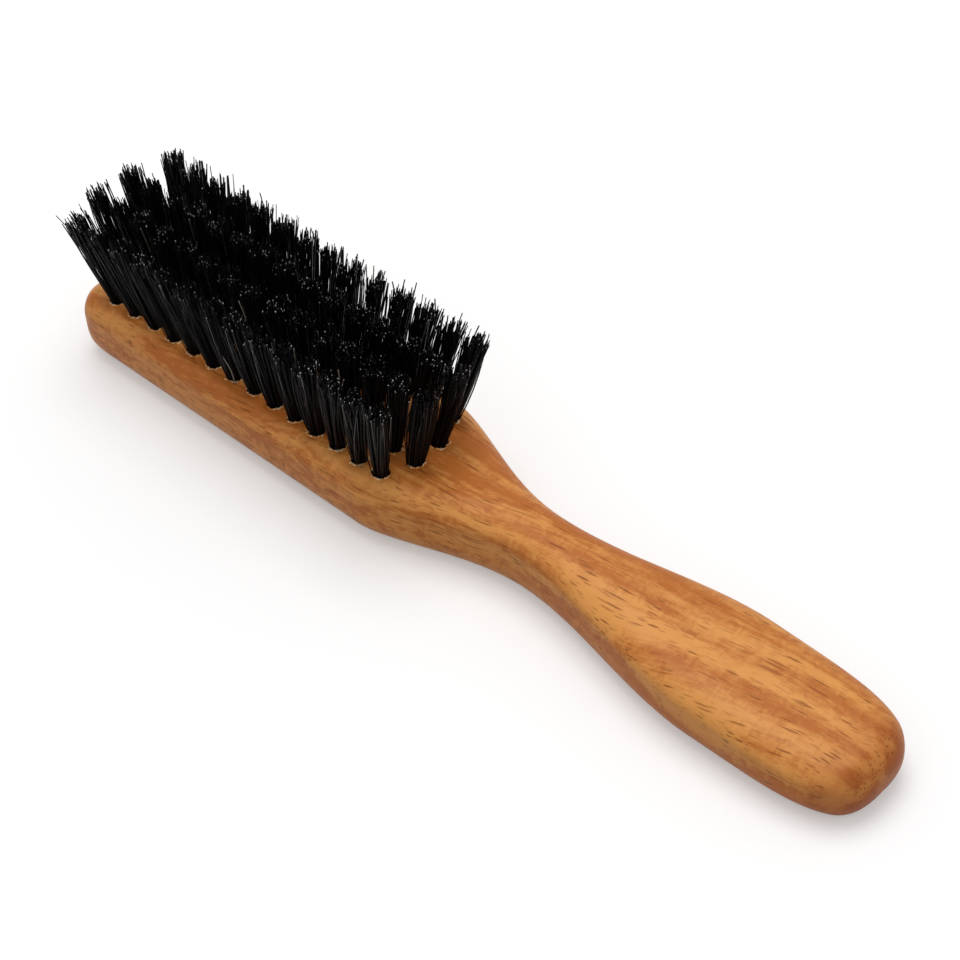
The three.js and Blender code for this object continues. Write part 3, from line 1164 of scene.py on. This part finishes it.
def add_sky(scene, studio):
    world = bpy.data.worlds.new("studio_sky")
    world.use_nodes = True
    graph = Graph(world.node_tree)
    background = world.node_tree.nodes["Background"]
    background.inputs["Color"].default_value = rgb((1.0, 1.0, 1.0))
    path = graph.node("ShaderNodeLightPath", output="Is Camera Ray")
    graph.feed(background.inputs["Strength"], path * (1.0 - studio.sky) + studio.sky)
    scene.world = world


def add_light(name, position, size, power):
    light = bpy.data.lights.new(name, "AREA")
    light.shape = "DISK"
    light.size = size
    light.energy = power
    lamp = bpy.data.objects.new(name, light)
    lamp.location = position
    lamp.rotation_euler = (-Vector(position)).to_track_quat("-Z", "Y").to_euler()
    bpy.context.scene.collection.objects.link(lamp)


def add_camera(scene, studio):
    back = Vector(
        (
            math.sin(studio.azimuth) * math.cos(studio.elevation),
            -math.cos(studio.azimuth) * math.cos(studio.elevation),
            math.sin(studio.elevation),
        )
    )
    level = (-back).cross(Vector((0, 0, 1))).normalized()
    upward = level.cross(-back)
    right = level * math.cos(studio.roll) + upward * math.sin(studio.roll)
    up = upward * math.cos(studio.roll) - level * math.sin(studio.roll)
    middle = Vector((-0.3 * MM, 0, 5.9 * MM))
    off_right, off_up = 2.071, 4.507  # millimetres from there to what the camera aims at
    aim = middle + right * off_right * MM + up * off_up * MM
    camera = bpy.data.cameras.new("camera")
    camera.sensor_width = 36.0
    camera.lens = studio.lens
    camera.clip_start = 0.01
    camera.clip_end = 20.0
    eye = bpy.data.objects.new("camera", camera)
    eye.matrix_world = Matrix.Translation(aim + back * studio.distance) @ Matrix(
        (right, up, back)
    ).transposed().to_4x4()
    scene.collection.objects.link(eye)
    scene.camera = eye


# ---------------------------------------------------------------- sidebar and main


class BRUSH_PT_sidebar(bpy.types.Panel):
    """Lists the brush's pieces and their sizes"""

    bl_label = "Beard Brush"
    bl_idname = "BRUSH_PT_sidebar"
    bl_space_type = "VIEW_3D"
    bl_region_type = "UI"
    bl_category = "Beard Brush"

    def draw(self, context):
        scene = context.scene
        for title, settings, operators in (
            ("Block", scene.brush_block, ("brush.block", "brush.rims")),
            ("Tufts", scene.brush_tufts, ("brush.bristle", "brush.loose_hairs", "brush.anchors")),
            ("Finish", scene.brush_finish, ()),
            ("Studio", scene.brush_studio, ("brush.studio",)),
        ):
            box = self.layout.box()
            box.label(text=title)
            for name in settings.__annotations__:
                box.prop(settings, name)
            for operator in operators:
                box.operator(operator)


SETTINGS = {
    "brush_block": BlockSettings,
    "brush_tufts": TuftSettings,
    "brush_finish": FinishSettings,
    "brush_studio": StudioSettings,
}
OPERATORS = (
    BRUSH_OT_block,
    BRUSH_OT_rims,
    BRUSH_OT_bristle,
    BRUSH_OT_loose_hairs,
    BRUSH_OT_anchors,
    BRUSH_OT_studio,
)


def register():
    for cls in (*SETTINGS.values(), *OPERATORS, BRUSH_PT_sidebar):
        bpy.utils.register_class(cls)
    for name, cls in SETTINGS.items():
        setattr(bpy.types.Scene, name, bpy.props.PointerProperty(type=cls))


def unregister():
    for name in SETTINGS:
        delattr(bpy.types.Scene, name)
    for cls in reversed((*SETTINGS.values(), *OPERATORS, BRUSH_PT_sidebar)):
        bpy.utils.unregister_class(cls)


def main():
    register()
    bpy.ops.brush.studio()
    bpy.ops.brush.block()
    bpy.ops.brush.rims()
    bpy.ops.brush.bristle()
    bpy.ops.brush.loose_hairs()
    bpy.ops.brush.anchors()


if __name__ == "__main__":
    main()
